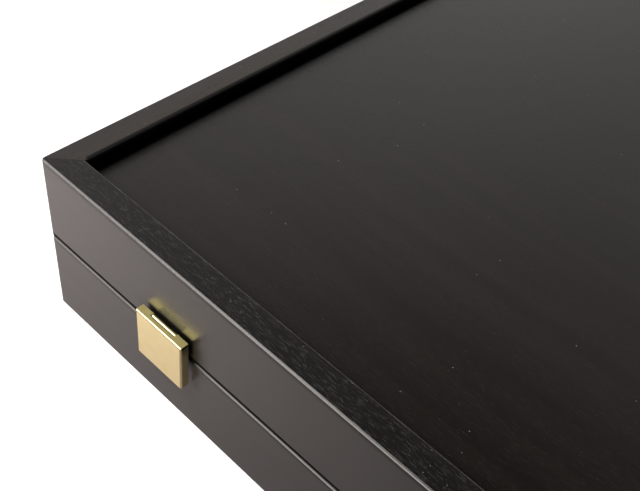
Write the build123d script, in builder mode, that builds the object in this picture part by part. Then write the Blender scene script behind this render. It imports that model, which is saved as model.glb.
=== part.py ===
from build123d import *
import os

# Backgammon board: a folding wooden case in two equal halves, joined by two
# butt hinges along the back and shut by two square box latches on the front.
#
# Frame: +X along the long latch side, +Y from the latches to the hinges, +Z up.
# The origin is on the surface the closed case stands on, under the middle of
# the whole object, hinge knuckles and latch covers included.  Millimetres.

# ---------------------------------------------------------------- dimensions
CASE_X = 480.0          # outside length, along the latches
CASE_Y = 300.0          # outside depth of the closed case, wood to wood
HALF_Z = 35.0           # height of each half; the seam is at this height
WALL = 10.0             # rail thickness
CORNER_R = 1.5          # upright outer corners
ARRIS_R = 1.0           # outer arris of each rim
SEAM_R = 1.0            # outer arris at the seam
RECESS = 4.0            # panel set in from the rim
PANEL_T = 5.0
TONGUE = 4.0            # how far the panel enters its groove
GROOVE = 4.2            # depth of the groove

RACK_W = 40.0           # clear width of the checker rack behind the front rail
DIVIDER_T = 8.0
BLOCK_L = 20.0          # solid block between the two rack compartments
DIVIDER_DROP = 0.5      # divider and block stop this far short of the seam

POINTS = 6              # points along each end of one half
POINT_L = 182.0
POINT_GAP = 2.4         # bare field between the feet of two points
INLAY_T = 0.7

HINGE_X = 140.0         # hinge centres, left and right of the middle
HINGE_L = 45.0
HINGE_MID = 22.0        # middle knuckle
HINGE_END_GAP = 0.2     # between knuckles
LEAF_T = 1.0
LEAF_GAP = 0.1          # each leaf lies this far below its seam face
LEAF_W = 8.4            # from the pin's axis to the leaf's inner edge
KNUCKLE_R = 2.2
KNUCKLE_OUT = 0.3       # axis behind the back face
KNUCKLE_CLEAR = 2.5     # radius cut away round the knuckles
BORE_R = 1.15
PIN_R = 1.1

LATCH_X = 177.5         # latch centres
LATCH_W = 21.5
LATCH_H = 20.5
LATCH_Z0 = 23.5         # lower edge of the cover
LATCH_PROUD = 4.2       # cover's face in front of the wood
LATCH_D = 3.2           # depth of the cover's flanges
LATCH_T = 0.5           # sheet of the cover
LATCH_ARRIS = 0.7
LATCH_PIN_OUT = 1.5     # pin axis in front of the wood
LATCH_PIN_Z = 43.2
LATCH_KNUCKLE_R = 0.68
LATCH_KNUCKLE_L = 11.0
LATCH_NOTCH_L = 11.3    # notch in the top flange over the knuckle
LATCH_NOTCH_Y = 1.0     # its front edge, ahead of the pin's axis
LATCH_EAR_T = 0.6       # ears beside the notch, which carry the pin
LATCH_SLIT = 0.3        # between the top flange and the side flanges
LATCH_BORE_R = 0.4
LATCH_PIN_R = 0.35
LATCH_PLATE_T = 0.6
LATCH_PLATE_W = 15.0
PLATE_Z0 = 36.2         # the plate on the lid, from edge to edge
PLATE_Z1 = 41.6
CATCH_W = 11.0
CATCH_Z0 = 25.1         # the catch on the base, from edge to edge
CATCH_Z1 = 31.8
RIDGE_Z0 = 25.6         # the catch's ridge
RIDGE_L = 8.0
CATCH_SCREW_DX = 3.4
CATCH_SCREW_Z = 29.3
PLATE_SCREW_DX = 5.0
PLATE_SCREW_Z = 38.9

CHECKER_D = 36.0
CHECKER_T = 9.5
CHECKER_PITCH = 9.65
CHECKERS = 15
DIE = 14.0

# ------------------------------------------------------------- derived values
CASE_Z = 2 * HALF_Z
YC = (LATCH_PROUD - (KNUCKLE_OUT + KNUCKLE_R)) / 2   # middle of the wood
YF = YC - CASE_Y / 2                                  # front face
YB = YC + CASE_Y / 2                                  # back face
HX = CASE_X / 2
IN_X = HX - WALL                                      # inner faces
IN_YF = YF + WALL
IN_YB = YB - WALL
PANEL_Z0 = RECESS
FLOOR_Z = RECESS + PANEL_T
DIV_Y0 = IN_YF + RACK_W
DIV_Y1 = DIV_Y0 + DIVIDER_T
DIV_TOP = HALF_Z - DIVIDER_DROP
FIELD_D = IN_YB - DIV_Y1
PITCH = FIELD_D / POINTS
AXIS_Y = YB + KNUCKLE_OUT
LEAF_Y0 = AXIS_Y - LEAF_W
LEAF_Y1 = AXIS_Y - 1.3
SCREW_Y = LEAF_Y0 + 3.55
END_L = (HINGE_L - HINGE_MID - 2 * HINGE_END_GAP) / 2
END_OFF = HINGE_L / 2 - END_L / 2
HINGE_SCREW_DX = (-15.5, 0.0, 15.5)
LATCH_Z1 = LATCH_Z0 + LATCH_H
LATCH_Y = YF - LATCH_PROUD
PIN_Y = YF - LATCH_PIN_OUT
SEAM = Plane.XY.offset(HALF_Z)

os.makedirs("parts", exist_ok=True)

# ------------------------------------------------------------ ring of one half
# The four rails of a half are cut from one moulded ring on its mitres, so that
# the rounded arrises and the panel groove run through the corners.
with BuildPart() as ring:
    with BuildSketch(Plane.XY):
        with Locations((0, YC)):
            RectangleRounded(CASE_X, CASE_Y, CORNER_R)
            Rectangle(CASE_X - 2 * WALL, CASE_Y - 2 * WALL, mode=Mode.SUBTRACT)
    extrude(amount=HALF_Z)
    bottom = ring.faces().sort_by(Axis.Z)[0]
    top = ring.faces().sort_by(Axis.Z)[-1]
    rim_outer = bottom.outer_wire().edges()
    rim_inner = bottom.inner_wires()[0].edges()
    seam_outer = top.outer_wire().edges()
    seam_inner = top.inner_wires()[0].edges()
    fillet(rim_outer, ARRIS_R)
    fillet(seam_outer, SEAM_R)
    fillet(rim_inner, 0.4)
    chamfer(seam_inner, 0.3)
    with BuildSketch(Plane.XY.offset(PANEL_Z0)):
        with Locations((0, YC)):
            Rectangle(CASE_X - 2 * WALL + 2 * GROOVE, CASE_Y - 2 * WALL + 2 * GROOVE)
    extrude(amount=PANEL_T, mode=Mode.SUBTRACT)

# mitre planes, named by corner; each faces the front or the back rail
MITRE_FL = Plane(origin=(-HX, YF, 0), z_dir=(1, -1, 0))
MITRE_FR = Plane(origin=(HX, YF, 0), z_dir=(-1, -1, 0))
MITRE_BL = Plane(origin=(-HX, YB, 0), z_dir=(1, 1, 0))
MITRE_BR = Plane(origin=(HX, YB, 0), z_dir=(-1, 1, 0))

# ------------------------------------------------------------------ base rails
LATCHES_X = (-LATCH_X, LATCH_X)
HINGES_X = (-HINGE_X, HINGE_X)

with BuildPart() as front_blank:
    add(ring.part)
    split(bisect_by=MITRE_FL, keep=Keep.TOP)
    split(bisect_by=MITRE_FR, keep=Keep.TOP)

with BuildPart() as base_front_rail:
    add(front_blank.part)
    # pilot holes of the catch screws
    with Locations(*[Plane(origin=(lx + s * CATCH_SCREW_DX, YF, CATCH_SCREW_Z), x_dir=(1, 0, 0), z_dir=(0, -1, 0))
                     for lx in LATCHES_X for s in (-1, 1)]):
        Hole(radius=0.65, depth=7.2)
base_front_rail.part.label = "base_front_rail"
export_step(base_front_rail.part, "parts/base_front_rail.step")

with BuildPart() as base_back_rail:
    add(ring.part)
    split(bisect_by=MITRE_BL, keep=Keep.TOP)
    split(bisect_by=MITRE_BR, keep=Keep.TOP)
    # a mortise for each leaf, open to the back
    with BuildSketch(SEAM):
        with Locations(*[(hx, (LEAF_Y0 + YB + 1) / 2) for hx in HINGES_X]):
            Rectangle(HINGE_L, YB + 1 - LEAF_Y0)
    extrude(amount=-(LEAF_GAP + LEAF_T), mode=Mode.SUBTRACT)
    # room round the knuckles
    with Locations(*[(hx, AXIS_Y, HALF_Z) for hx in HINGES_X]):
        Cylinder(KNUCKLE_CLEAR, HINGE_L + 1.6, rotation=(0, 90, 0), mode=Mode.SUBTRACT)
    # pilot holes
    with Locations(*[(hx + dx, SCREW_Y, HALF_Z) for hx in HINGES_X for dx in HINGE_SCREW_DX]):
        Hole(radius=1.05, depth=9.3)
base_back_rail.part.label = "base_back_rail"
export_step(base_back_rail.part, "parts/base_back_rail.step")

with BuildPart() as base_left_rail:
    add(ring.part)
    split(bisect_by=MITRE_FL, keep=Keep.BOTTOM)
    split(bisect_by=MITRE_BL, keep=Keep.BOTTOM)
base_left_rail.part.label = "base_left_rail"
export_step(base_left_rail.part, "parts/base_left_rail.step")

with BuildPart() as base_right_rail:
    add(ring.part)
    split(bisect_by=MITRE_FR, keep=Keep.BOTTOM)
    split(bisect_by=MITRE_BR, keep=Keep.BOTTOM)
base_right_rail.part.label = "base_right_rail"
export_step(base_right_rail.part, "parts/base_right_rail.step")

# ------------------------------------------------------------------- lid rails
with BuildPart() as lid_front_rail:
    mirror(front_blank.part, about=SEAM)
    # pilot holes of the latch plates
    with Locations(*[Plane(origin=(lx + s * PLATE_SCREW_DX, YF, PLATE_SCREW_Z), x_dir=(1, 0, 0), z_dir=(0, -1, 0))
                     for lx in LATCHES_X for s in (-1, 1)]):
        Hole(radius=0.65, depth=7.2)
lid_front_rail.part.label = "lid_front_rail"
export_step(lid_front_rail.part, "parts/lid_front_rail.step")

with BuildPart() as lid_back_rail:
    mirror(base_back_rail.part, about=SEAM)
lid_back_rail.part.label = "lid_back_rail"
export_step(lid_back_rail.part, "parts/lid_back_rail.step")

with BuildPart() as lid_left_rail:
    mirror(base_left_rail.part, about=SEAM)
lid_left_rail.part.label = "lid_left_rail"
export_step(lid_left_rail.part, "parts/lid_left_rail.step")

with BuildPart() as lid_right_rail:
    mirror(base_right_rail.part, about=SEAM)
lid_right_rail.part.label = "lid_right_rail"
export_step(lid_right_rail.part, "parts/lid_right_rail.step")

# --------------------------------------------------------- panels and the points
# Each point is a long triangle of veneer let into the panel, its foot on an end
# rail.  Light and dark alternate, also across the board and over the hinge line.
def point_outline(side, row):
    y0 = DIV_Y1 + row * PITCH + POINT_GAP / 2
    y1 = DIV_Y1 + (row + 1) * PITCH - POINT_GAP / 2
    foot = side * IN_X
    return [(foot, y0), (foot, y1), (side * (IN_X - POINT_L), (y0 + y1) / 2)]


POINTS_A = [point_outline(s, r) for s in (-1, 1) for r in range(POINTS) if (r % 2 == 0) == (s < 0)]
POINTS_B = [point_outline(s, r) for s in (-1, 1) for r in range(POINTS) if (r % 2 == 0) != (s < 0)]

with BuildPart() as base_panel:
    with BuildSketch(Plane.XY.offset(PANEL_Z0)):
        with Locations((0, YC)):
            Rectangle(CASE_X - 2 * WALL + 2 * TONGUE, CASE_Y - 2 * WALL + 2 * TONGUE)
    extrude(amount=PANEL_T)
    with BuildSketch(Plane.XY.offset(FLOOR_Z)):
        for tri in POINTS_A + POINTS_B:
            Polygon(*tri, align=None)
    extrude(amount=-INLAY_T, mode=Mode.SUBTRACT)
base_panel.part.label = "base_panel"
export_step(base_panel.part, "parts/base_panel.step")

with BuildPart() as base_points_light:
    with BuildSketch(Plane.XY.offset(FLOOR_Z)):
        for tri in POINTS_A:
            Polygon(*tri, align=None)
    extrude(amount=-INLAY_T)
base_points_light.part.label = "base_points_light"
export_step(base_points_light.part, "parts/base_points_light.step")

with BuildPart() as base_points_dark:
    with BuildSketch(Plane.XY.offset(FLOOR_Z)):
        for tri in POINTS_B:
            Polygon(*tri, align=None)
    extrude(amount=-INLAY_T)
base_points_dark.part.label = "base_points_dark"
export_step(base_points_dark.part, "parts/base_points_dark.step")

with BuildPart() as lid_panel:
    mirror(base_panel.part, about=SEAM)
lid_panel.part.label = "lid_panel"
export_step(lid_panel.part, "parts/lid_panel.step")

with BuildPart() as lid_points_light:
    mirror(base_points_dark.part, about=SEAM)
lid_points_light.part.label = "lid_points_light"
export_step(lid_points_light.part, "parts/lid_points_light.step")

with BuildPart() as lid_points_dark:
    mirror(base_points_light.part, about=SEAM)
lid_points_dark.part.label = "lid_points_dark"
export_step(lid_points_dark.part, "parts/lid_points_dark.step")

# ------------------------------------------------------- checker racks, both halves
with BuildPart() as base_rack_rail:
    with BuildSketch(Plane.XY.offset(FLOOR_Z)):
        with Locations((0, (DIV_Y0 + DIV_Y1) / 2)):
            Rectangle(2 * IN_X, DIVIDER_T)
    extrude(amount=DIV_TOP - FLOOR_Z)
    fillet(base_rack_rail.faces().sort_by(Axis.Z)[-1].edges().filter_by(Axis.X), 1.0)
base_rack_rail.part.label = "base_rack_rail"
export_step(base_rack_rail.part, "parts/base_rack_rail.step")

with BuildPart() as base_rack_block:
    with BuildSketch(Plane.XY.offset(FLOOR_Z)):
        with Locations((0, (IN_YF + DIV_Y0) / 2)):
            Rectangle(BLOCK_L, RACK_W)
    extrude(amount=DIV_TOP - FLOOR_Z)
    fillet(base_rack_block.faces().sort_by(Axis.Z)[-1].edges().filter_by(Axis.Y), 2.0)
base_rack_block.part.label = "base_rack_block"
export_step(base_rack_block.part, "parts/base_rack_block.step")

with BuildPart() as lid_rack_rail:
    mirror(base_rack_rail.part, about=SEAM)
lid_rack_rail.part.label = "lid_rack_rail"
export_step(lid_rack_rail.part, "parts/lid_rack_rail.step")

with BuildPart() as lid_rack_block:
    mirror(base_rack_block.part, about=SEAM)
lid_rack_block.part.label = "lid_rack_block"
export_step(lid_rack_block.part, "parts/lid_rack_block.step")

# ---------------------------------------------------------------------- hinges
# Base leaf: plate in the mortise, the two outer knuckles.
with BuildPart() as hinge_left_base_leaf:
    with BuildSketch(Plane.XY.offset(HALF_Z - LEAF_GAP - LEAF_T)):
        with Locations((-HINGE_X, (LEAF_Y0 + LEAF_Y1) / 2)):
            Rectangle(HINGE_L, LEAF_Y1 - LEAF_Y0)
    extrude(amount=LEAF_T)
    with Locations((-HINGE_X, AXIS_Y, HALF_Z)):
        Cylinder(KNUCKLE_CLEAR, HINGE_MID + 2 * HINGE_END_GAP, rotation=(0, 90, 0), mode=Mode.SUBTRACT)
    with Locations((-HINGE_X - END_OFF, AXIS_Y, HALF_Z), (-HINGE_X + END_OFF, AXIS_Y, HALF_Z)):
        Cylinder(KNUCKLE_R, END_L, rotation=(0, 90, 0))
    with Locations((-HINGE_X, AXIS_Y, HALF_Z)):
        Cylinder(BORE_R, HINGE_L + 2, rotation=(0, 90, 0), mode=Mode.SUBTRACT)
    with Locations(*[(-HINGE_X + dx, SCREW_Y, HALF_Z - LEAF_GAP) for dx in HINGE_SCREW_DX]):
        Cone(1.05, 2.05, LEAF_T, align=(Align.CENTER, Align.CENTER, Align.MAX), mode=Mode.SUBTRACT)
hinge_left_base_leaf.part.label = "hinge_left_base_leaf"
export_step(hinge_left_base_leaf.part, "parts/hinge_left_base_leaf.step")

# Lid leaf: plate in the lid's mortise, the middle knuckle.
with BuildPart() as hinge_left_lid_leaf:
    with BuildSketch(Plane.XY.offset(HALF_Z + LEAF_GAP)):
        with Locations((-HINGE_X, (LEAF_Y0 + LEAF_Y1) / 2)):
            Rectangle(HINGE_L, LEAF_Y1 - LEAF_Y0)
    extrude(amount=LEAF_T)
    with Locations((-HINGE_X - END_OFF - 0.5, AXIS_Y, HALF_Z), (-HINGE_X + END_OFF + 0.5, AXIS_Y, HALF_Z)):
        Cylinder(KNUCKLE_CLEAR, END_L + 2 * HINGE_END_GAP + 1.0, rotation=(0, 90, 0), mode=Mode.SUBTRACT)
    with Locations((-HINGE_X, AXIS_Y, HALF_Z)):
        Cylinder(KNUCKLE_R, HINGE_MID, rotation=(0, 90, 0))
        Cylinder(BORE_R, HINGE_L + 2, rotation=(0, 90, 0), mode=Mode.SUBTRACT)
    with Locations(*[(-HINGE_X + dx, SCREW_Y, HALF_Z + LEAF_GAP) for dx in HINGE_SCREW_DX]):
        Cone(2.05, 1.05, LEAF_T, align=(Align.CENTER, Align.CENTER, Align.MIN), mode=Mode.SUBTRACT)
hinge_left_lid_leaf.part.label = "hinge_left_lid_leaf"
export_step(hinge_left_lid_leaf.part, "parts/hinge_left_lid_leaf.step")

with BuildPart() as hinge_left_pin:
    with Locations((-HINGE_X, AXIS_Y, HALF_Z)):
        Cylinder(PIN_R, HINGE_L + 0.8, rotation=(0, 90, 0))
    fillet(hinge_left_pin.edges().filter_by(GeomType.CIRCLE), 0.35)
hinge_left_pin.part.label = "hinge_left_pin"
export_step(hinge_left_pin.part, "parts/hinge_left_pin.step")

with BuildPart() as hinge_right_base_leaf:
    mirror(hinge_left_base_leaf.part, about=Plane.YZ)
hinge_right_base_leaf.part.label = "hinge_right_base_leaf"
export_step(hinge_right_base_leaf.part, "parts/hinge_right_base_leaf.step")

with BuildPart() as hinge_right_lid_leaf:
    mirror(hinge_left_lid_leaf.part, about=Plane.YZ)
hinge_right_lid_leaf.part.label = "hinge_right_lid_leaf"
export_step(hinge_right_lid_leaf.part, "parts/hinge_right_lid_leaf.step")

with BuildPart() as hinge_right_pin:
    mirror(hinge_left_pin.part, about=Plane.YZ)
hinge_right_pin.part.label = "hinge_right_pin"
export_step(hinge_right_pin.part, "parts/hinge_right_pin.step")

# Countersunk slotted wood screws, heads flush with the leaves.
with BuildPart() as hinge_base_screws:
    screw_tops = [(hx + dx, SCREW_Y, HALF_Z - LEAF_GAP) for hx in HINGES_X for dx in HINGE_SCREW_DX]
    with Locations(*screw_tops):
        Cylinder(1.0, 8.6, align=(Align.CENTER, Align.CENTER, Align.MAX))
        Cone(1.0, 2.0, LEAF_T, align=(Align.CENTER, Align.CENTER, Align.MAX))
        Box(5.0, 0.5, 0.8, align=Align.CENTER, mode=Mode.SUBTRACT)
hinge_base_screws.part.label = "hinge_base_screws"
export_step(hinge_base_screws.part, "parts/hinge_base_screws.step")

with BuildPart() as hinge_lid_screws:
    mirror(hinge_base_screws.part, about=SEAM)
hinge_lid_screws.part.label = "hinge_lid_screws"
export_step(hinge_lid_screws.part, "parts/hinge_lid_screws.step")

# --------------------------------------------------------------------- latches
# Cover: one sheet folded back along the top and both sides, open below.  The
# side flanges stop short of the top flange in a slit.  The top flange is notched
# over the plate's knuckle, and an ear turned down at each end of the notch
# carries the pin.  A small lip inside the lower edge lies under the catch.
with BuildPart() as latch_left_cover:
    with BuildSketch(Plane.XY.offset(LATCH_Z0)):
        with Locations((-LATCH_X, LATCH_Y + LATCH_D / 2)):
            Rectangle(LATCH_W, LATCH_D)
    extrude(amount=LATCH_H)
    face = latch_left_cover.faces().sort_by(Axis.Y)[0]
    sides = face.edges().filter_by(Axis.Z)
    crown = face.edges().filter_by(Axis.X).sort_by(Axis.Z)[-1]
    fillet([*sides, crown], LATCH_ARRIS)
    # the hollow, open below and behind
    with Locations((-LATCH_X, LATCH_Y + LATCH_T, LATCH_Z0 - 1)):
        Box(LATCH_W - 2 * LATCH_T, LATCH_D + 1, LATCH_H - LATCH_T + 1,
            align=(Align.CENTER, Align.MIN, Align.MIN), mode=Mode.SUBTRACT)
    # slits at the two upper corners
    with Locations(*[(-LATCH_X + s * (LATCH_W / 2 - LATCH_T / 2), LATCH_Y + 0.6, LATCH_Z1 - LATCH_T - LATCH_SLIT) for s in (-1, 1)]):
        Box(2 * LATCH_T, LATCH_D + 1, LATCH_SLIT, align=(Align.CENTER, Align.MIN, Align.MIN), mode=Mode.SUBTRACT)
    # notch over the knuckle
    with Locations((-LATCH_X, PIN_Y - LATCH_NOTCH_Y, LATCH_Z1 - 2)):
        Box(LATCH_NOTCH_L, LATCH_D, 4, align=(Align.CENTER, Align.MIN, Align.MIN), mode=Mode.SUBTRACT)
    # ears, and the hole for the pin through them
    with Locations(*[(-LATCH_X + s * (LATCH_NOTCH_L + LATCH_EAR_T) / 2, PIN_Y - LATCH_NOTCH_Y, LATCH_PIN_Z - 0.75) for s in (-1, 1)]):
        Box(LATCH_EAR_T, LATCH_NOTCH_Y + 0.75, 1.25, align=(Align.CENTER, Align.MIN, Align.MIN))
    with Locations((-LATCH_X, PIN_Y, LATCH_PIN_Z)):
        Cylinder(LATCH_BORE_R, LATCH_NOTCH_L + 2 * LATCH_EAR_T + 0.2, rotation=(0, 90, 0), mode=Mode.SUBTRACT)
    # lip
    with Locations((-LATCH_X, LATCH_Y + LATCH_T - 0.1, LATCH_Z0 + 0.7)):
        Box(RIDGE_L, 1.4, 0.7, align=(Align.CENTER, Align.MIN, Align.MIN))
latch_left_cover.part.label = "latch_left_cover"
export_step(latch_left_cover.part, "parts/latch_left_cover.step")

# Plate on the lid: flat on the wood, its middle drawn up into the knuckle.
with BuildPart() as latch_left_plate:
    with BuildSketch(Plane(origin=(-LATCH_X, YF, 0), x_dir=(1, 0, 0), z_dir=(0, -1, 0))):
        with Locations((0, (PLATE_Z0 + PLATE_Z1) / 2)):
            RectangleRounded(LATCH_PLATE_W, PLATE_Z1 - PLATE_Z0, 1.0)
    extrude(amount=LATCH_PLATE_T)
    with BuildSketch(Plane(origin=(-LATCH_X - LATCH_KNUCKLE_L / 2, YF, 0), x_dir=(0, 1, 0), z_dir=(1, 0, 0))):
        Polygon((0, PLATE_Z1 - 0.8), (0, PLATE_Z1), (-0.5, PLATE_Z1 + 0.3), (-LATCH_PIN_OUT + 0.45, LATCH_PIN_Z - 0.35),
                (-LATCH_PIN_OUT - 0.25, LATCH_PIN_Z - 0.55), (-0.6, PLATE_Z1 - 0.8), align=None)
        with Locations((-LATCH_PIN_OUT, LATCH_PIN_Z)):
            Circle(LATCH_KNUCKLE_R)
            Circle(LATCH_BORE_R, mode=Mode.SUBTRACT)
    extrude(amount=LATCH_KNUCKLE_L)
    with Locations(*[Plane(origin=(-LATCH_X + s * PLATE_SCREW_DX, YF - LATCH_PLATE_T, PLATE_SCREW_Z), x_dir=(1, 0, 0), z_dir=(0, -1, 0))
                     for s in (-1, 1)]):
        Hole(radius=0.65, depth=2)
latch_left_plate.part.label = "latch_left_plate"
export_step(latch_left_plate.part, "parts/latch_left_plate.step")

with BuildPart() as latch_left_pin:
    with Locations((-LATCH_X, PIN_Y, LATCH_PIN_Z)):
        Cylinder(LATCH_PIN_R, LATCH_NOTCH_L + 2 * LATCH_EAR_T - 0.1, rotation=(0, 90, 0))
latch_left_pin.part.label = "latch_left_pin"
export_step(latch_left_pin.part, "parts/latch_left_pin.step")

# Catch on the base: a small plate with a ridge across it.
with BuildPart() as latch_left_catch:
    with BuildSketch(Plane(origin=(-LATCH_X, YF, 0), x_dir=(1, 0, 0), z_dir=(0, -1, 0))):
        with Locations((0, (CATCH_Z0 + CATCH_Z1) / 2)):
            RectangleRounded(CATCH_W, CATCH_Z1 - CATCH_Z0, 0.8)
    extrude(amount=LATCH_PLATE_T)
    with BuildSketch(Plane(origin=(-LATCH_X - RIDGE_L / 2, YF, 0), x_dir=(0, 1, 0), z_dir=(1, 0, 0))):
        Polygon((0, RIDGE_Z0), (0, RIDGE_Z0 + 2.2), (-0.6, RIDGE_Z0 + 2.2), (-1.8, RIDGE_Z0 + 1.0),
                (-1.8, RIDGE_Z0 + 0.3), (-1.5, RIDGE_Z0), align=None)
    extrude(amount=RIDGE_L)
    with Locations(*[Plane(origin=(-LATCH_X + s * CATCH_SCREW_DX, YF - LATCH_PLATE_T, CATCH_SCREW_Z), x_dir=(1, 0, 0), z_dir=(0, -1, 0))
                     for s in (-1, 1)]):
        Hole(radius=0.65, depth=2)
latch_left_catch.part.label = "latch_left_catch"
export_step(latch_left_catch.part, "parts/latch_left_catch.step")

with BuildPart() as latch_right_cover:
    mirror(latch_left_cover.part, about=Plane.YZ)
latch_right_cover.part.label = "latch_right_cover"
export_step(latch_right_cover.part, "parts/latch_right_cover.step")

with BuildPart() as latch_right_plate:
    mirror(latch_left_plate.part, about=Plane.YZ)
latch_right_plate.part.label = "latch_right_plate"
export_step(latch_right_plate.part, "parts/latch_right_plate.step")

with BuildPart() as latch_right_pin:
    mirror(latch_left_pin.part, about=Plane.YZ)
latch_right_pin.part.label = "latch_right_pin"
export_step(latch_right_pin.part, "parts/latch_right_pin.step")

with BuildPart() as latch_right_catch:
    mirror(latch_left_catch.part, about=Plane.YZ)
latch_right_catch.part.label = "latch_right_catch"
export_step(latch_right_catch.part, "parts/latch_right_catch.step")

# Small round-headed pins driven through the plates and the catches.
with BuildPart() as latch_plate_screws:
    with Locations(*[Plane(origin=(lx + s * PLATE_SCREW_DX, YF - LATCH_PLATE_T, PLATE_SCREW_Z), x_dir=(1, 0, 0), z_dir=(0, -1, 0))
                     for lx in LATCHES_X for s in (-1, 1)]):
        Cylinder(0.6, 7.4, align=(Align.CENTER, Align.CENTER, Align.MAX))
        Cone(1.3, 0.8, 0.6, align=(Align.CENTER, Align.CENTER, Align.MIN))
latch_plate_screws.part.label = "latch_plate_screws"
export_step(latch_plate_screws.part, "parts/latch_plate_screws.step")

with BuildPart() as latch_catch_screws:
    with Locations(*[Plane(origin=(lx + s * CATCH_SCREW_DX, YF - LATCH_PLATE_T, CATCH_SCREW_Z), x_dir=(1, 0, 0), z_dir=(0, -1, 0))
                     for lx in LATCHES_X for s in (-1, 1)]):
        Cylinder(0.6, 7.4, align=(Align.CENTER, Align.CENTER, Align.MAX))
        Cone(1.3, 0.8, 0.6, align=(Align.CENTER, Align.CENTER, Align.MIN))
latch_catch_screws.part.label = "latch_catch_screws"
export_step(latch_catch_screws.part, "parts/latch_catch_screws.step")

# ------------------------------------------------------------ checkers and dice
# A checker is a turned disc with a shallow dish in each face.
with BuildPart() as checker_blank:
    with BuildSketch(Plane.XY):
        with BuildLine():
            Polyline((0, 0), (0, CHECKER_T / 2 - 0.9), (12.0, CHECKER_T / 2 - 0.9), (13.2, CHECKER_T / 2),
                     (CHECKER_D / 2, CHECKER_T / 2), (CHECKER_D / 2, 0), (0, 0))
        make_face()
    revolve(axis=Axis.Y, revolution_arc=360)
    mirror(about=Plane.XZ)
    rims = checker_blank.edges().filter_by(GeomType.CIRCLE).group_by(SortBy.RADIUS)[-1]
    fillet([e for e in rims if abs(e.center().Y) > 1], 1.1)

RACK_Y = IN_YF + RACK_W / 2
CHECKER_Z = FLOOR_Z + CHECKER_D / 2 + 0.05
FIRST_X = IN_X - 1.0 - CHECKER_T / 2

with BuildPart() as checkers_light:
    with Locations(*[Location((-FIRST_X + i * CHECKER_PITCH, RACK_Y, CHECKER_Z), (0, 0, 90)) for i in range(CHECKERS)]):
        add(checker_blank.part)
checkers_light.part.label = "checkers_light"
export_step(checkers_light.part, "parts/checkers_light.step")

with BuildPart() as checkers_dark:
    with Locations(*[Location((FIRST_X - i * CHECKER_PITCH, RACK_Y, CHECKER_Z), (0, 0, 90)) for i in range(CHECKERS)]):
        add(checker_blank.part)
checkers_dark.part.label = "checkers_dark"
export_step(checkers_dark.part, "parts/checkers_dark.step")

# A die: opposite faces add up to seven.
P = DIE * 0.25
PIPS = {
    1: [(0, 0)],
    2: [(-P, -P), (P, P)],
    3: [(-P, -P), (0, 0), (P, P)],
    4: [(-P, -P), (-P, P), (P, -P), (P, P)],
    5: [(-P, -P), (-P, P), (P, -P), (P, P), (0, 0)],
    6: [(-P, -P), (-P, 0), (-P, P), (P, -P), (P, 0), (P, P)],
}
with BuildPart() as die_blank:
    Box(DIE, DIE, DIE)
    fillet(die_blank.edges(), 1.6)
    h = DIE / 2
    with Locations(*[(u, v, h) for u, v in PIPS[1]], *[(u, v, -h) for u, v in PIPS[6]]):
        Cylinder(1.15, 1.2, mode=Mode.SUBTRACT)
    with Locations(*[(h, u, v) for u, v in PIPS[2]], *[(-h, u, v) for u, v in PIPS[5]]):
        Cylinder(1.15, 1.2, rotation=(0, 90, 0), mode=Mode.SUBTRACT)
    with Locations(*[(u, h, v) for u, v in PIPS[3]], *[(u, -h, v) for u, v in PIPS[4]]):
        Cylinder(1.15, 1.2, rotation=(90, 0, 0), mode=Mode.SUBTRACT)

with BuildPart() as dice:
    with Locations(Location((-24.5, RACK_Y - 8.6, FLOOR_Z + DIE / 2), (0, 0, 12)),
                   Location((-23.5, RACK_Y + 9.6, FLOOR_Z + DIE / 2), (0, 0, -9)) * Location((0, 0, 0), (90, 0, 0))):
        add(die_blank.part)
dice.part.label = "dice"
export_step(dice.part, "parts/dice.step")
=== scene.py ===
import math

import bmesh
import bpy
from mathutils import Matrix, Vector

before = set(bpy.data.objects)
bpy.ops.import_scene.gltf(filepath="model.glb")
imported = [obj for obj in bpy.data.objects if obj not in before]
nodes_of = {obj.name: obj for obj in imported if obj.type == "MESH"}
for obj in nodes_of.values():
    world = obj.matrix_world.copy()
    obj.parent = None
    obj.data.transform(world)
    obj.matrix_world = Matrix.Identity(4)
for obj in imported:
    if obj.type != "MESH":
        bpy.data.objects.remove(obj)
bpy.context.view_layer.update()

scene = bpy.context.scene
scene.view_settings.view_transform = "Standard"
scene.view_settings.look = "None"

MM = 0.001


# ---------------------------------------------------------------- camera

cam_data = bpy.data.cameras.new("camera")
cam_data.sensor_fit = "HORIZONTAL"
cam_data.sensor_width = 36.0
cam_data.lens = 52.311
cam_data.clip_start = 0.005
cam_data.clip_end = 200
cam = bpy.data.objects.new("camera", cam_data)
scene.collection.objects.link(cam)
right, up, back = Vector((0.720262, 0.686676, 0.098480)), Vector((-0.543511, 0.470389, 0.695220)), Vector((0.431067, -0.554266, 0.712019))
turn = Matrix((right, up, back)).transposed().to_4x4()
cam.matrix_world = Matrix.Translation((-0.031527, -0.265954, 0.271446)) @ turn
scene.camera = cam


# ---------------------------------------------------------------- node helpers

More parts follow.
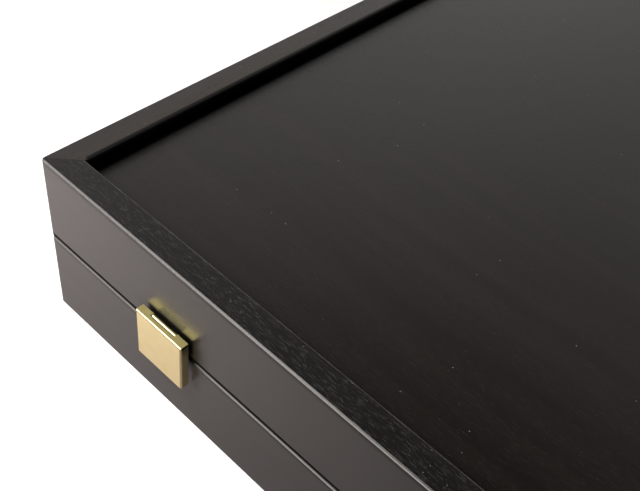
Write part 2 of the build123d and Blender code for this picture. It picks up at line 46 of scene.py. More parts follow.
class Tree:
    """A material's or the world's node tree, with short calls to add nodes."""

    def __init__(self, owner):
        owner.use_nodes = True
        self.t = owner.node_tree
        self.t.nodes.clear()

    def add(self, kind, **props):
        n = self.t.nodes.new(kind)
        for k, v in props.items():
            setattr(n, k, v)
        return n

    def put(self, value, socket):
        if isinstance(value, bpy.types.NodeSocket):
            self.t.links.new(value, socket)
        elif value is not None:
            if hasattr(socket.default_value, "__len__") and not hasattr(value, "__len__"):
                value = [value] * len(socket.default_value)
            if hasattr(value, "__len__") and len(value) == 3 and len(socket.default_value) == 4:
                value = (*value, 1.0)
            socket.default_value = value

    def math(self, op, a, b=None, c=None, clamp=False):
        n = self.add("ShaderNodeMath", operation=op, use_clamp=clamp)
        self.put(a, n.inputs[0])
        self.put(b, n.inputs[1])
        self.put(c, n.inputs[2])
        return n.outputs[0]

    def vec(self, op, a, b=None, scale=None):
        n = self.add("ShaderNodeVectorMath", operation=op)
        self.put(a, n.inputs[0])
        self.put(b, n.inputs[1])
        if scale is not None:
            self.put(scale, n.inputs["Scale"])
        return n.outputs["Value" if op in ("LENGTH", "DOT_PRODUCT", "DISTANCE") else "Vector"]

    def sep(self, v):
        n = self.add("ShaderNodeSeparateXYZ")
        self.put(v, n.inputs[0])
        return n.outputs

    def comb(self, x, y, z):
        n = self.add("ShaderNodeCombineXYZ")
        for v, s in zip((x, y, z), n.inputs):
            self.put(v, s)
        return n.outputs[0]

    def noise(self, v, scale=1.0, detail=2.0, rough=0.5, distortion=0.0, out="Fac"):
        n = self.add("ShaderNodeTexNoise")
        self.put(v, n.inputs["Vector"])
        self.put(scale, n.inputs["Scale"])
        self.put(detail, n.inputs["Detail"])
        self.put(rough, n.inputs["Roughness"])
        self.put(distortion, n.inputs["Distortion"])
        return n.outputs[out]

    def white(self, v=None, w=None):
        n = self.add("ShaderNodeTexWhiteNoise", noise_dimensions="3D" if w is None else "1D")
        if w is None:
            self.put(v, n.inputs["Vector"])
        else:
            self.put(w, n.inputs["W"])
        return n.outputs

    def span(self, v, a, b, lo=0.0, hi=1.0, smooth=False):
        n = self.add("ShaderNodeMapRange", interpolation_type="SMOOTHSTEP" if smooth else "LINEAR")
        for x, s in zip((v, a, b, lo, hi), ("Value", "From Min", "From Max", "To Min", "To Max")):
            self.put(x, n.inputs[s])
        return n.outputs["Result"]

    def mix(self, f, a, b, kind="MIX"):
        n = self.add("ShaderNodeMix", data_type="RGBA", blend_type=kind)
        self.put(f, n.inputs["Factor"])
        self.put(a, n.inputs[6])
        self.put(b, n.inputs[7])
        return n.outputs[2]

    def lerp(self, f, a, b):
        n = self.add("ShaderNodeMix", data_type="FLOAT")
        self.put(f, n.inputs["Factor"])
        self.put(a, n.inputs[2])
        self.put(b, n.inputs[3])
        return n.outputs[0]

    def ramp(self, v, stops, how="LINEAR"):
        n = self.add("ShaderNodeValToRGB")
        n.color_ramp.interpolation = how
        el = n.color_ramp.elements
        while len(el) < len(stops):
            el.new(0.5)
        for e, (p, c) in zip(el, stops):
            e.position = p
            e.color = (*c, 1.0) if hasattr(c, "__len__") else (c, c, c, 1.0)
        self.put(v, n.inputs[0])
        return n.outputs[0]

    def bump(self, height, distance, strength=1.0, normal=None):
        n = self.add("ShaderNodeBump")
        self.put(height, n.inputs["Height"])
        n.inputs["Distance"].default_value = distance
        self.put(strength, n.inputs["Strength"])
        self.put(normal, n.inputs["Normal"])
        return n.outputs[0]

    def surface(self, **values):
        n = self.add("ShaderNodeBsdfPrincipled")
        for k, v in values.items():
            self.put(v, n.inputs[k.replace("_", " ")])
        out = self.add("ShaderNodeOutputMaterial")
        self.t.links.new(n.outputs[0], out.inputs[0])
        return n

    def coords(self):
        n = self.add("ShaderNodeTexCoord")
        return n.outputs["Object"], n.outputs["Normal"]


def material(name):
    m = bpy.data.materials.new(name)
    return m, Tree(m)


def stretch(t, p, along, fine_along, fine_across, shift=(0, 0, 0)):
    """p scaled so that one noise cell is fine_along metres along the grain axis and fine_across across it."""
    s = [1 / fine_across] * 3
    s["xyz".index(along)] = 1 / fine_along
    v = t.vec("MULTIPLY", p, tuple(s))
    return t.vec("ADD", v, tuple(shift))


# ---------------------------------------------------------------- world, floor, lights

world = bpy.data.worlds.new("studio")
scene.world = world
w = Tree(world)
direction = w.add("ShaderNodeTexCoord").outputs["Generated"]
dx, dy, dz = w.sep(direction)
sky = w.ramp(dz, [
    (0.00, (0.74, 0.735, 0.725)),
    (0.52, (0.72, 0.712, 0.70)),
    (0.62, (0.66, 0.652, 0.64)),
    (0.69, (0.50, 0.493, 0.485)),
    (0.75, (0.295, 0.272, 0.255)),
    (0.80, (0.060, 0.050, 0.046)),
    (0.88, (0.012, 0.011, 0.010)),
    (1.00, (0.012, 0.011, 0.010)),
])
sky = w.vec("SCALE", sky, scale=w.span(dx, -0.20, -0.46, 0.87, 1.20, smooth=True))
# the room beyond the table, in front of the case, is dark where it is only reflected
room = w.math("MULTIPLY", w.span(dy, -0.25, -0.60, 0, 1, smooth=True), w.span(dz, 0.42, 0.28, 0, 1, smooth=True))
sky = w.mix(room, sky, (0.03, 0.03, 0.03))
# what the camera sees over the floor's far edge has the floor's own tone
seen_sky = w.ramp(dz, [(0.00, (0.546, 0.546, 0.542)), (0.35, (0.62, 0.62, 0.616))])
sky = w.mix(w.add("ShaderNodeLightPath").outputs["Is Camera Ray"], sky, seen_sky)
bg = w.add("ShaderNodeBackground")
w.put(sky, bg.inputs["Color"])
out = w.add("ShaderNodeOutputWorld")
w.t.links.new(bg.outputs[0], out.inputs[0])

bm = bmesh.new()
R = 40.0
ring = [bm.verts.new((R * math.cos(2 * math.pi * i / 96), R * math.sin(2 * math.pi * i / 96), -0.00002)) for i in range(96)]
bm.faces.new(ring)
me = bpy.data.meshes.new("floor")
bm.to_mesh(me)
bm.free()
floor = bpy.data.objects.new("floor", me)
scene.collection.objects.link(floor)
m, t = material("floor_pale")
p, n = t.coords()
path = t.add("ShaderNodeLightPath").outputs
cloud = t.noise(p, scale=2.5, detail=3)
fx, fy, fz = t.sep(p)
# painted shade on the floor as glossy rays see it: dark from 0.222 m in front, darker towards +x and close in front of
# the case
far = t.span(fy, -0.222, -0.275, 0, 1, smooth=True)
pale = t.mix(cloud, (0.86, 0.86, 0.855), (0.885, 0.885, 0.88))
across = t.ramp(t.span(fx, -0.30, 0.30), [(0.0, 1.00), (0.06, 0.95), (0.20, 0.76), (0.27, 0.63), (0.36, 0.47), (0.60, 0.33), (1.0, 0.33)])
close = t.span(fy, -0.151, -0.186, 0.83, 1.04, smooth=True)
front = t.span(fy, 0.10, -0.10, 0, 1, smooth=True)
shade = t.lerp(front, 1.0, t.math("MULTIPLY", across, close))
table = t.mix(far, t.vec("SCALE", (0.93, 0.835, 0.825), scale=shade), (0.06, 0.06, 0.06))
# painted shade: where the floor is seen in a second mirroring, as between the latch and the wood, its tone is cut to
# 0.55
table = t.vec("SCALE", table, scale=t.span(path["Glossy Depth"], 1.4, 1.6, 1.0, 0.55))
seen = t.mix(path["Is Glossy Ray"], pale, table)
t.surface(Base_Color=seen, Roughness=0.85, Specular_IOR_Level=0.2,
          Emission_Color=(1.0, 1.0, 1.0), Emission_Strength=t.math("MULTIPLY", path["Is Camera Ray"], 0.22))
floor.data.materials.append(m)


def aim(obj, at):
    obj.rotation_euler = (Vector(at) - obj.location).to_track_quat("-Z", "Y").to_euler()


def area(name, loc, at, size, power, colour=(1, 1, 1), spread=None):
    d = bpy.data.lights.new(name, "AREA")
    d.shape = "RECTANGLE"
    d.size, d.size_y = size
    d.energy = power
    d.color = colour
    if spread:
        d.spread = math.radians(spread)
    o = bpy.data.objects.new(name, d)
    o.location = loc
    scene.collection.objects.link(o)
    o.visible_camera = False
    aim(o, at)
    return o


area("key", (-0.46, -0.50, 0.37), (-0.21, -0.15, 0.035), (0.46, 0.52), 6.6, (1.0, 0.985, 0.96))
area("right_fill", (1.15, 0.75, 0.95), (0.1, 0.0, 0.03), (0.7, 0.7), 3.0, (0.985, 0.99, 1.0))


# ---------------------------------------------------------------- dark stained wood

def dark_wood(name, along, kind):
    """kind rail: lacquered sides and open-grained rims; panel: satin veneer; rack: satin, finer."""
    m, t = material(name)
    p, nrm = t.coords()
    tilt = t.sep(nrm)[2]
    nz = t.math("ABSOLUTE", tilt)
    x, y, z = t.sep(p)
    outer = t.math("GREATER_THAN", t.math("ABSOLUTE", t.math("SUBTRACT", z, 0.035)), 0.0305)
    figure = t.noise(stretch(t, p, along, 0.16, 0.011), detail=3, rough=0.55, distortion=0.6)
    fibre = t.noise(stretch(t, p, along, 0.022, 0.00075, (3.1, 7.7, 1.3)), detail=3, rough=0.6)
    pores = t.noise(stretch(t, p, along, 0.0036, 0.00036, (9.2, 1.4, 5.6)), detail=2, rough=0.55)
    specks = t.noise(stretch(t, p, along, 0.0013, 0.0005, (4.2, 8.4, 2.6)), detail=1)
    flake = (0.00125, 0.00034) if kind == "rail" else (0.0023, 0.00036)
    flakes = t.noise(stretch(t, p, along, *flake, (1.7, 6.1, 3.3)), detail=3, rough=0.6, distortion=1.3)
    patch = t.noise(p, scale=90, detail=4, rough=0.65)
    pore = t.span(pores, 0.30, 0.44, 1.0, 0.0, smooth=True)
    ridge = t.math("MULTIPLY", t.span(flakes, 0.56, 0.72, 0.0, 1.0, smooth=True), t.span(patch, 0.42, 0.60, 0.10, 1.15))
    speck = t.span(specks, 0.74, 0.80, 0.0, 1.0, smooth=True)
    dust = t.white(t.vec("FLOOR", t.vec("SCALE", p, scale=1 / 0.00032)))["Value"]
    tone = t.math("MULTIPLY_ADD", figure, 0.62, t.math("MULTIPLY", fibre, 0.38))
    if kind == "rail":
        rim = t.span(nz, 0.80, 0.97, 0, 1, smooth=True)
        # painted shade on the walls of the two recesses, inside the rims
        deep = t.math("LESS_THAN", t.math("ABSOLUTE", x), 0.2301)
        deep = t.math("MULTIPLY", deep, t.math("LESS_THAN", t.math("ABSOLUTE", t.math("SUBTRACT", y, 0.00085)), 0.1401))
        deep = t.math("MULTIPLY", deep, outer)
        deep = t.math("MULTIPLY", deep, t.span(nz, 0.55, 0.20, 0, 1))
        # the painted shade on the recess walls is half as strong at their top
        lip = t.math("ABSOLUTE", t.math("SUBTRACT", z, 0.035))
        deep = t.math("MULTIPLY", deep, t.span(lip, 0.0332, 0.0349, 1.0, 0.50))
        # distance from the inner edge on top of the side and back rails
        inner = t.math("MAXIMUM", t.math("SUBTRACT", t.math("ABSOLUTE", x), 0.2300), t.math("SUBTRACT", y, 0.14085))
        # painted shade along the last millimetre of the rim's inner edge on the side and back rails
        painted_inner_edge_shade = t.math("MULTIPLY", t.span(inner, 0.00090, 0.00125, 0.68, 0.0, smooth=True), t.math("MULTIPLY", outer, t.span(nz, 0.3, 0.6, 0, 1)))
        painted_inner_edge_shade = t.math("MULTIPLY", painted_inner_edge_shade, t.span(y, -0.1386, -0.1376, 0, 1))
        # painted sheen: the left and right rails' colours are raised by this gain, the front and back rails' slightly
        # lowered
        painted_sheen_gain = 2.5 if along == "y" else 0.9
        dark, mid, pale = [tuple(c * (1 + (painted_sheen_gain - 1) * k) for c, k in zip(col, (1.0, 0.93, 0.80)))
                           for col in ((0.0048, 0.0039, 0.0035), (0.0068, 0.0054, 0.0047), (0.0098, 0.0074, 0.0063))]
        base = t.ramp(tone, [(0.30, dark), (0.50, mid), (0.70, pale)])
        base = t.mix(t.math("MULTIPLY", pore, t.lerp(rim, 0.12, 0.50)), base, (0.0026, 0.0022, 0.0020))
        base = t.mix(t.math("MULTIPLY", ridge, t.lerp(rim, 0.0, 0.24)), base, (0.024, 0.021, 0.019))
        base = t.mix(t.math("MULTIPLY", speck, t.lerp(rim, 0.0, 0.30)), base, (0.12, 0.11, 0.10))
        base = t.mix(t.math("MULTIPLY", t.math("GREATER_THAN", dust, 0.9994), t.lerp(rim, 0.0, 0.45)), base, (0.30, 0.28, 0.265))
        # a painted highlight: a broken pale line along the front rail's inner arris
        wear_and_painted_highlight = t.math("MULTIPLY", t.span(y, -0.13975, -0.13955, 0, 1), t.span(y, -0.1388, -0.1386, 1, 0))
        wear_and_painted_highlight = t.math("MULTIPLY", wear_and_painted_highlight, t.math("LESS_THAN", t.math("ABSOLUTE", x), 0.2301))
        wear_and_painted_highlight = t.math("MULTIPLY", wear_and_painted_highlight, t.math("MULTIPLY", outer, t.span(nz, 0.20, 0.45, 0, 1)))
        wear_and_painted_highlight = t.math("MULTIPLY", wear_and_painted_highlight, t.span(t.noise(stretch(t, p, along, 0.006, 0.006), detail=4, rough=0.85), 0.42, 0.64, 0.28, 1.0))
        base = t.mix(t.math("MULTIPLY", wear_and_painted_highlight, 0.75), base, (0.090, 0.083, 0.077))
        # the outer arrises: a painted highlight where they turn to the side, painted shade above that and just below
        outside = t.math("GREATER_THAN", t.math("MAXIMUM", t.math("SUBTRACT", t.math("ABSOLUTE", x), 0.2350), t.math("SUBTRACT", t.math("ABSOLUTE", t.math("SUBTRACT", y, 0.00085)), 0.1450)), 0.0)
        painted_arris_highlight = t.math("MULTIPLY", t.span(tilt, 0.12, 0.24, 0, 1, smooth=True), t.span(tilt, 0.90, 0.97, 1, 0, smooth=True))
        painted_arris_highlight = t.math("MULTIPLY", painted_arris_highlight, t.math("MULTIPLY", outside, t.span(tilt, 0.40, 0.64, 0.80, 0.25)))
        # the painted highlight is paler towards the middle of the case
        wear_and_painted_highlight = t.span(t.math("ABSOLUTE", x), 0.215, 0.060, 0.0, 1.0, smooth=True)
        base = t.mix(painted_arris_highlight, base, t.mix(wear_and_painted_highlight, (0.160, 0.149, 0.141), (0.300, 0.281, 0.266)))
        seam = t.math("MULTIPLY", t.math("GREATER_THAN", z, 0.0335), t.math("LESS_THAN", z, 0.0351))
        # painted shade on the upper part of each outer arris, and on the side just below it
        painted_shade_over_arris = t.math("MULTIPLY", t.span(tilt, 0.60, 0.80, 0, 1, smooth=True), t.span(tilt, 0.975, 0.999, 1, 0))
        painted_shade_over_arris = t.math("MULTIPLY", painted_shade_over_arris, t.lerp(seam, 0.60, 0.85))
        fall = t.math("SUBTRACT", 0.035, t.math("MODULO", z, 0.035))
        under = t.math("MULTIPLY", t.span(fall, 0.0017, 0.0026, 0.50, 0.0, smooth=True), t.span(nz, 0.05, 0.02, 0, 1))
        edges = t.math("MULTIPLY", t.math("MAXIMUM", painted_shade_over_arris, under), outside)
        # the mitres
        mitre = t.math("SUBTRACT", t.math("SUBTRACT", 0.240, t.math("ABSOLUTE", x)), t.math("SUBTRACT", 0.150, t.math("ABSOLUTE", t.math("SUBTRACT", y, 0.00085))))
        mitre = t.math("MULTIPLY", t.span(t.math("ABSOLUTE", mitre), 0.00006, 0.00016, 1, 0), t.span(nz, 0.3, 0.6, 0, 1))
        base = t.mix(t.math("MULTIPLY", mitre, 0.8), base, (0.0016, 0.0014, 0.0013))
        # painted shade: the recess walls, the seam and the wood close around a latch are darkened towards black
        painted_seam_shade = t.math("MULTIPLY", t.math("GREATER_THAN", z, 0.0350), t.span(z, 0.03715, 0.03685, 0, 1))
        painted_seam_shade = t.math("MULTIPLY", painted_seam_shade, t.span(nz, 0.995, 0.9, 0, 1))
        # painted shade where each arris turns up from the vertical faces
        painted_shade_low_on_arris = t.math("MULTIPLY", t.span(tilt, 0.00, 0.03, 0, 1), t.span(tilt, 0.10, 0.20, 1, 0, smooth=True))
        lx = t.math("SUBTRACT", t.math("ABSOLUTE", t.math("SUBTRACT", t.math("ABSOLUTE", t.math("SUBTRACT", x, 0.0018)), 0.1775)), 0.01075)
        lz = t.math("SUBTRACT", t.math("ABSOLUTE", t.math("SUBTRACT", z, 0.0322)), 0.00825)
        away = t.vec("LENGTH", t.comb(t.math("MAXIMUM", lx, 0.0), 0.0, t.math("MAXIMUM", lz, 0.0)))
        # painted shadow of the latches on the front rails: over their footprint, below them and beside them
        painted_latch_shadow = t.span(away, 0.0, 0.0046, 0.45, 0.0, smooth=True)
        painted_shadow_below_latch = t.math("MULTIPLY", t.span(lx, -0.004, 0.004, 0.22, 0.0, smooth=True), t.math("MULTIPLY", t.span(z, 0.0085, 0.0160, 0, 1, smooth=True), t.math("LESS_THAN", z, 0.0302)))
        painted_shadow_beside_latch = t.math("MULTIPLY", t.span(lx, -0.0018, 0.0068, 0.80, 0.0), t.math("MULTIPLY", t.span(z, 0.0265, 0.0315, 0, 1, smooth=True), t.span(z, 0.0470, 0.0405, 0, 1, smooth=True)))
        painted_latch_shadow = t.math("MULTIPLY", t.math("MAXIMUM", painted_shadow_beside_latch, t.math("MAXIMUM", painted_latch_shadow, painted_shadow_below_latch)), t.math("LESS_THAN", y, -0.147))
        # all painted shades of the rails together, mixed towards near black below
        painted_shade = t.math("MAXIMUM", t.math("MAXIMUM", deep, t.math("MULTIPLY", painted_seam_shade, 0.98)), t.math("MAXIMUM", painted_latch_shadow, t.math("MULTIPLY", painted_shade_low_on_arris, 0.62)))
        painted_shade = t.math("MAXIMUM", painted_shade, t.math("MAXIMUM", painted_inner_edge_shade, edges))
        # painted shade on the rims of the front and back rails
        if along == "x":
            painted_shade = t.math("MAXIMUM", painted_shade, t.math("MULTIPLY", rim, 0.16))
        base = t.mix(painted_shade, base, (0.0012, 0.0011, 0.0010))
        rough_side = t.span(figure, 0.3, 0.7, 0.28, 0.32)
        rough_rim = t.math("MULTIPLY_ADD", pore, 0.22, t.span(fibre, 0.3, 0.7, 0.27, 0.37))
        rough = t.lerp(t.math("MAXIMUM", deep, painted_seam_shade), t.lerp(rim, rough_side, rough_rim), 0.9)
        # metallic follows the painted shade, so over its near-black colour the reflection goes too
        metal = painted_shade
        peel = t.noise(p, scale=620, detail=1)
        side_bump = t.bump(peel, 0.00001, 0.22)
        relief = t.math("SUBTRACT", t.math("MULTIPLY", ridge, 0.5), pore)
        relief = t.math("MULTIPLY_ADD", fibre, 0.35, relief)
        normal = t.bump(relief, 0.00004, rim, side_bump)
    elif kind == "panel":
        base = t.ramp(tone, [(0.30, (0.0050, 0.0037, 0.0032)), (0.50, (0.0070, 0.0050, 0.0042)), (0.70, (0.0102, 0.0070, 0.0057))])
        base = t.mix(t.math("MULTIPLY", pore, 0.45), base, (0.0048, 0.0036, 0.0031))
        base = t.mix(t.math("MULTIPLY", ridge, 0.40), base, (0.021, 0.0155, 0.0122))
        base = t.mix(t.math("MULTIPLY", speck, 0.45), base, (0.060, 0.048, 0.040))
        base = t.mix(t.math("GREATER_THAN", dust, 0.99994), base, (0.16, 0.152, 0.142))
        rough = t.math("MULTIPLY_ADD", pore, 0.05, t.span(figure, 0.3, 0.7, 0.215, 0.265))
        # painted shade: a dark band along the foot of the side and back recess walls
        wall = t.math("MINIMUM", t.math("SUBTRACT", 0.2300, t.math("ABSOLUTE", x)), t.math("SUBTRACT", 0.14085, y))
        painted_shade = t.ramp(t.math("DIVIDE", wall, 0.012), [(0.23, 1.0), (0.45, 0.55), (0.58, 0.18), (0.69, 0.08), (0.95, 0.0)])
        painted_shade = t.math("MULTIPLY", painted_shade, outer)
        base = t.mix(painted_shade, base, (0.0012, 0.0011, 0.0010))
        # metallic follows the painted shade, so over its near-black colour the reflection goes too
        metal = painted_shade
        relief = t.math("SUBTRACT", t.math("MULTIPLY", fibre, 0.30), pore)
        normal = t.bump(relief, 0.00003, 0.35)
    else:
        base = t.ramp(tone, [(0.30, (0.0100, 0.0072, 0.0060)), (0.50, (0.0150, 0.0105, 0.0086)), (0.70, (0.0220, 0.0150, 0.0118))])
        base = t.mix(t.math("MULTIPLY", pore, 0.45), base, (0.0050, 0.0038, 0.0032))
        rough = t.math("MULTIPLY_ADD", pore, 0.08, 0.28)
        relief = t.math("SUBTRACT", t.math("MULTIPLY", fibre, 0.30), pore)
        normal = t.bump(relief, 0.00004, 0.45)
        metal = 0.0
    t.surface(Base_Color=base, Metallic=metal, Roughness=rough, Normal=normal, IOR=1.5)
    return m


def veneer(name, deep, mid, pale, pore_colour, pore_share, rough_lo, seed):
    """Inlaid points: grain along Y, each point cut from its own leaf."""
    m, t = material(name)
    p, nrm = t.coords()
    x, y, z = t.sep(p)
    leaf = t.math("FLOOR", t.math("DIVIDE", x, 0.038667))
    rnd = t.white(w=t.math("ADD", leaf, seed))
    own = t.vec("ADD", p, t.vec("SCALE", rnd["Color"], scale=0.9))
    figure = t.noise(stretch(t, own, "y", 0.12, 0.0065), detail=4, rough=0.55, distortion=0.9)
    rings = t.noise(stretch(t, own, "y", 0.20, 0.0024, (5.1, 2.2, 0.3)), detail=2, rough=0.5, distortion=0.4)
    fibre = t.noise(stretch(t, own, "y", 0.014, 0.00045, (3.1, 7.7, 1.3)), detail=2, rough=0.6)
    pores = t.noise(stretch(t, own, "y", 0.0042, 0.00034, (9.2, 1.4, 5.6)), detail=2)
    pore = t.span(pores, 0.28, 0.40, 1.0, 0.0, smooth=True)
    tone = t.math("MULTIPLY_ADD", figure, 0.50, t.math("MULTIPLY_ADD", rings, 0.32, t.math("MULTIPLY", fibre, 0.18)))
    tone = t.math("MULTIPLY_ADD", t.math("SUBTRACT", rnd["Value"], 0.5), 0.10, tone)
    base = t.ramp(tone, [(0.34, deep), (0.50, mid), (0.66, pale)])
    base = t.mix(t.math("MULTIPLY", pore, pore_share), base, pore_colour)
    rough = t.math("MULTIPLY_ADD", pore, 0.10, t.span(fibre, 0.3, 0.7, rough_lo, rough_lo + 0.06))
    relief = t.math("SUBTRACT", t.math("MULTIPLY", fibre, 0.3), pore)
    t.surface(Base_Color=base, Roughness=rough, Normal=t.bump(relief, 0.00003, 0.35), IOR=1.5)
    return m


def turned(name, deep, mid, pale, pore_colour, pore_share, rough_lo, seed):
    """Checkers lie on edge along X in the rack: each is its own turned disc with its own grain."""
    m, t = material(name)
    p, nrm = t.coords()
    x, y, z = t.sep(p)
    which = t.math("FLOOR", t.math("DIVIDE", t.math("SUBTRACT", t.math("ABSOLUTE", x), 0.0844), 0.00964))
    rnd = t.white(w=t.math("ADD", which, seed))
    centred = t.comb(x, t.math("ADD", y, 0.11915), t.math("SUBTRACT", z, 0.02705))
    rot = t.add("ShaderNodeVectorRotate", rotation_type="X_AXIS")
    t.put(centred, rot.inputs["Vector"])
    t.put(t.math("MULTIPLY", rnd["Value"], 6.283), rot.inputs["Angle"])
    own = t.vec("ADD", rot.outputs[0], t.vec("SCALE", rnd["Color"], scale=0.7))
    figure = t.noise(stretch(t, own, "y", 0.05, 0.0042), detail=3, distortion=0.8)
    rings = t.noise(stretch(t, own, "y", 0.09, 0.0013, (5.1, 2.2, 0.3)), detail=2, distortion=0.3)
    fibre = t.noise(stretch(t, own, "y", 0.010, 0.0004, (3.1, 7.7, 1.3)), detail=2)
    pores = t.noise(stretch(t, own, "y", 0.0030, 0.00030, (9.2, 1.4, 5.6)), detail=2)
    pore = t.span(pores, 0.28, 0.40, 1.0, 0.0, smooth=True)
    tone = t.math("MULTIPLY_ADD", figure, 0.45, t.math("MULTIPLY_ADD", rings, 0.37, t.math("MULTIPLY", fibre, 0.18)))
    tone = t.math("MULTIPLY_ADD", t.math("SUBTRACT", rnd["Value"], 0.5), 0.14, tone)
    base = t.ramp(tone, [(0.34, deep), (0.50, mid), (0.66, pale)])
    base = t.mix(t.math("MULTIPLY", pore, pore_share), base, pore_colour)
    radius = t.vec("LENGTH", t.vec("MULTIPLY", centred, (0, 1, 1)))
    lathe = t.math("SINE", t.math("MULTIPLY", radius, 2 * math.pi / 0.00042))
    on_face = t.span(t.math("ABSOLUTE", t.sep(nrm)[0]), 0.6, 0.9)
    relief = t.math("SUBTRACT", t.math("MULTIPLY", fibre, 0.4), pore)
    relief = t.math("MULTIPLY_ADD", t.math("MULTIPLY", lathe, on_face), 0.10, relief)
    rough = t.math("MULTIPLY_ADD", pore, 0.12, t.span(fibre, 0.3, 0.7, rough_lo, rough_lo + 0.08))
    t.surface(Base_Color=base, Roughness=rough, Normal=t.bump(relief, 0.00004, 0.4), IOR=1.48)
    return m


# ---------------------------------------------------------------- brass

def brass(name, colour, deep, rough, brushed, scale=1.0):
    """Brushed strip brass, grain along X, duller in the hollows of its scratches."""
    m, t = material(name)
    p, nrm = t.coords()
    cloud = t.noise(p, scale=140 * scale, detail=3, rough=0.55)
    lines = t.noise(stretch(t, p, "x", 0.009, 0.00009, (2.2, 5.1, 8.3)), detail=2, rough=0.6)
    scratch = t.noise(stretch(t, p, "x", 0.004, 0.00022, (7.2, 3.1, 1.3)), detail=1)
    dull = t.span(cloud, 0.42, 0.70, 0, 1, smooth=True)
    base = t.mix(t.math("MULTIPLY", dull, 0.55), colour, deep)
    base = t.mix(t.span(lines, 0.30, 0.70, 0.0, 0.22 * brushed), base, deep)
    r = t.math("ADD", t.span(cloud, 0.3, 0.7, rough - 0.05, rough + 0.07), t.span(lines, 0.3, 0.7, -0.04 * brushed, 0.05 * brushed))
    normal = t.bump(t.math("MULTIPLY_ADD", scratch, 0.4, lines), 0.000012, 0.5 * brushed)
    t.surface(Base_Color=base, Metallic=1.0, Roughness=r, Normal=normal)
    return m


def latch_brass(name):
    """Pale brass: a fine bead-blasted skin on the flats, polished where the sheet is folded or cut."""
    m, t = material(name)
    p, nrm = t.coords()
    a = t.vec("ABSOLUTE", nrm)
    nx, ny, nz = t.sep(a)
    most = t.math("MAXIMUM", t.math("MAXIMUM", nx, ny), nz)
    edge = t.span(most, 0.93, 0.995, 1.0, 0.0, smooth=True)
    cloud = t.noise(p, scale=170, detail=3, rough=0.5)
    grit = t.noise(p, scale=5200, detail=2, rough=0.6)
    wear_and_painted_highlight = t.span(cloud, 0.35, 0.68, 0, 0.5)
    x, y, z = t.sep(p)
    flat = t.mix(wear_and_painted_highlight, (0.748, 0.640, 0.345), (0.686, 0.578, 0.295))
    # painted light and shade: the side flanges darker near the top and lighter low down, the top flanges darker than
    # the face
    side_flange_painted_tone = t.mix(t.span(z, 0.0425, 0.0385, 0, 1, smooth=True), (0.52, 0.44, 0.21), (1.0, 0.90, 0.51))
    top_flange_painted_shade = t.mix(wear_and_painted_highlight, (0.440, 0.378, 0.160), (0.385, 0.328, 0.125))
    flat = t.mix(t.span(nx, 0.7, 0.95, 0, 1, smooth=True), flat, side_flange_painted_tone)
    flat = t.mix(t.span(nz, 0.7, 0.95, 0, 1, smooth=True), flat, top_flange_painted_shade)
    base = t.mix(edge, flat, (0.400, 0.335, 0.190))
    # the inside is left unpolished and carries a painted shade, and the slit under the top flange is painted near black
    # as a painted shade
    from_mid = t.math("ABSOLUTE", t.math("SUBTRACT", t.math("ABSOLUTE", x), 0.1775))
    inside_painted_shade = t.math("MULTIPLY", t.math("LESS_THAN", from_mid, 0.01030), t.math("MULTIPLY", t.math("LESS_THAN", z, 0.04355), t.math("GREATER_THAN", y, -0.15290)))
    slit_painted_shade = t.math("MULTIPLY", t.math("LESS_THAN", t.math("ABSOLUTE", t.math("SUBTRACT", z, 0.04325)), 0.0004), t.math("GREATER_THAN", y, -0.15280))
    base = t.mix(inside_painted_shade, base, (0.110, 0.084, 0.040))
    base = t.mix(slit_painted_shade, base, (0.010, 0.008, 0.005))
    r = t.lerp(edge, t.span(cloud, 0.3, 0.7, 0.29, 0.36), 0.26)
    r = t.lerp(t.math("MAXIMUM", inside_painted_shade, slit_painted_shade), r, 0.55)
    normal = t.bump(grit, 0.000010, t.math("MULTIPLY", t.math("SUBTRACT", 1.0, edge), 0.45))
    t.surface(Base_Color=base, Metallic=1.0, Roughness=r, Normal=normal)
    return m


def resin(name):
    m, t = material(name)
    p, nrm = t.coords()
    swirl = t.noise(p, scale=190, detail=3, distortion=0.8)
    base = t.mix(t.span(swirl, 0.35, 0.65), (0.80, 0.74, 0.60), (0.86, 0.82, 0.70))
    # inside the drilled pips: just under one face, and clear of the rounded edges
    second = t.math("GREATER_THAN", t.sep(p)[1], -0.1187)
    centre = t.comb(t.lerp(second, -0.0245, -0.0235), t.lerp(second, -0.12775, -0.10955), 0.016)
    spin = t.add("ShaderNodeVectorRotate", rotation_type="Z_AXIS")
    t.put(t.vec("SUBTRACT", p, centre), spin.inputs["Vector"])
    t.put(t.lerp(second, math.radians(-12), math.radians(9)), spin.inputs["Angle"])
    u = t.sep(t.vec("ABSOLUTE", spin.outputs[0]))
    pip = 0.0
    for i in range(3):
        j, k = (i + 1) % 3, (i + 2) % 3
        under = t.math("MULTIPLY", t.math("GREATER_THAN", u[i], 0.0063), t.math("LESS_THAN", u[i], 0.00694))
        clear = t.math("LESS_THAN", t.math("MAXIMUM", u[j], u[k]), 0.0049)
        pip = t.math("MAXIMUM", pip, t.math("MULTIPLY", under, clear))
    base = t.mix(pip, base, (0.016, 0.014, 0.013))
    rough = t.lerp(pip, t.span(swirl, 0.3, 0.7, 0.10, 0.17), 0.42)
    s = t.surface(Base_Color=base, Roughness=rough, IOR=1.5)
    s.inputs["Subsurface Weight"].default_value = 0.25
    s.inputs["Subsurface Scale"].default_value = 0.0015
    s.inputs["Subsurface Radius"].default_value = (1.0, 0.8, 0.55)
    return m


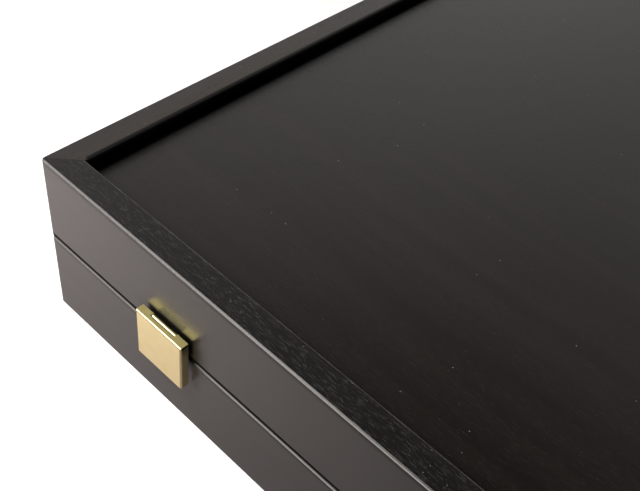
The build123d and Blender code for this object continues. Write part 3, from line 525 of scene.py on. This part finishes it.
M = {
    "rail_x": dark_wood("wood_rail_x", "x", "rail"),
    "rail_y": dark_wood("wood_rail_y", "y", "rail"),
    "panel": dark_wood("wood_panel", "x", "panel"),
    "rack": dark_wood("wood_rack", "x", "rack"),
    "block": dark_wood("wood_block", "y", "rack"),
    "light": veneer("veneer_oak", (0.38, 0.235, 0.105), (0.56, 0.385, 0.205), (0.70, 0.52, 0.31), (0.24, 0.135, 0.055), 0.60, 0.26, 11.0),
    "dark": veneer("veneer_mahogany", (0.095, 0.026, 0.0115), (0.175, 0.052, 0.022), (0.27, 0.088, 0.036), (0.045, 0.014, 0.007), 0.65, 0.24, 37.0),
    "checker_light": turned("turned_oak", (0.40, 0.25, 0.115), (0.58, 0.41, 0.225), (0.70, 0.53, 0.32), (0.26, 0.15, 0.065), 0.5, 0.30, 5.0),
    "checker_dark": turned("turned_walnut", (0.040, 0.019, 0.0115), (0.075, 0.036, 0.021), (0.125, 0.062, 0.035), (0.020, 0.011, 0.008), 0.6, 0.27, 71.0),
    "brass": brass("brass_strip", (0.74, 0.575, 0.285), (0.56, 0.415, 0.175), 0.27, 1.0),
    "fastener": brass("brass_turned", (0.78, 0.60, 0.30), (0.58, 0.42, 0.18), 0.20, 0.35),
    "latch": latch_brass("brass_latch"),
    "knuckle": brass("brass_bright", (0.66, 0.60, 0.35), (0.56, 0.49, 0.26), 0.43, 0.3),
    "dice": resin("resin_ivory"),
}


def finish_for(n):
    if n.endswith(("front_rail", "back_rail")):
        return "rail_x"
    if n.endswith(("left_rail", "right_rail")):
        return "rail_y"
    if n.endswith("_panel"):
        return "panel"
    if n.endswith("rack_rail"):
        return "rack"
    if n.endswith("rack_block"):
        return "block"
    if n.endswith("points_light"):
        return "light"
    if n.endswith("points_dark"):
        return "dark"
    if n == "checkers_light":
        return "checker_light"
    if n == "checkers_dark":
        return "checker_dark"
    if n == "dice":
        return "dice"
    if n.endswith("_cover"):
        return "latch"
    if n.startswith("latch") and n.endswith("_plate"):
        return "knuckle"
    if "screws" in n or n.endswith("_pin"):
        return "fastener"
    return "brass"


for name, ob in nodes_of.items():
    ob.data.materials.clear()
    ob.data.materials.append(M[finish_for(name)])


# ---------------------------------------------------------------- softened edges

def soften(ob, width, segments=2):
    """Eases the hard edges of a CAD node with modifiers; its own mesh stays as it is."""
    weld = ob.modifiers.new("weld", "WELD")
    weld.merge_threshold = 1e-6
    flat = ob.modifiers.new("flat", "DECIMATE")
    flat.decimate_type = "DISSOLVE"
    flat.angle_limit = math.radians(0.6)
    bevel = ob.modifiers.new("bevel", "BEVEL")
    bevel.width = width
    bevel.segments = segments
    bevel.limit_method = "ANGLE"
    bevel.angle_limit = math.radians(40)
    bevel.use_clamp_overlap = True
    even = ob.modifiers.new("even", "WEIGHTED_NORMAL")
    even.keep_sharp = True
    even.weight = 80


for name, ob in nodes_of.items():
    if name.endswith("_leaf"):
        soften(ob, 0.10 * MM)
    elif name.endswith(("_plate", "_catch")):
        soften(ob, 0.06 * MM)
    elif "screws" in name:
        soften(ob, 0.05 * MM)


# ---------------------------------------------------------------- end

bpy.context.view_layer.update()
